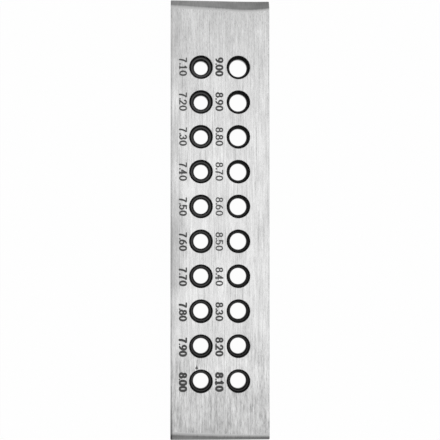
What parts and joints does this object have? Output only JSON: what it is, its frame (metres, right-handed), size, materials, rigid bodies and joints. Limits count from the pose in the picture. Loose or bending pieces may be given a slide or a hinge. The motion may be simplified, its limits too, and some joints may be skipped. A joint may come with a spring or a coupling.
{
  "type": "wire draw plate",
  "caption": "Flat steel draw plate with two columns of pressed-in carbide dies of stepped bore, for pulling wire and rod down to size by hand or on a draw bench.",
  "frame": {"origin": "middle of the plate's back face", "axes": "+Z out of the numbered face, +Y along the plate towards the end with the smallest and the largest die, +X to the right as the numbered face is seen"},
  "size_m": [0.0516, 0.229, 0.012],
  "materials": {
    "plate_steel": "brushed lengthwise, ends ground by hand",
    "die_carbide": "dark sintered carbide, polished in the bearing"
  },
  "bodies": {
    "root": {"plate": "plate_steel", "die_7_10": "die_carbide", "die_7_20": "die_carbide", "die_7_30": "die_carbide", "die_7_40": "die_carbide", "die_7_50": "die_carbide", "die_7_60": "die_carbide", "die_7_70": "die_carbide", "die_7_80": "die_carbide", "die_7_90": "die_carbide", "die_8_00": "die_carbide", "die_8_10": "die_carbide", "die_8_20": "die_carbide", "die_8_30": "die_carbide", "die_8_40": "die_carbide", "die_8_50": "die_carbide", "die_8_60": "die_carbide", "die_8_70": "die_carbide", "die_8_80": "die_carbide", "die_8_90": "die_carbide", "die_9_00": "die_carbide"}
  },
  "joints": []
}
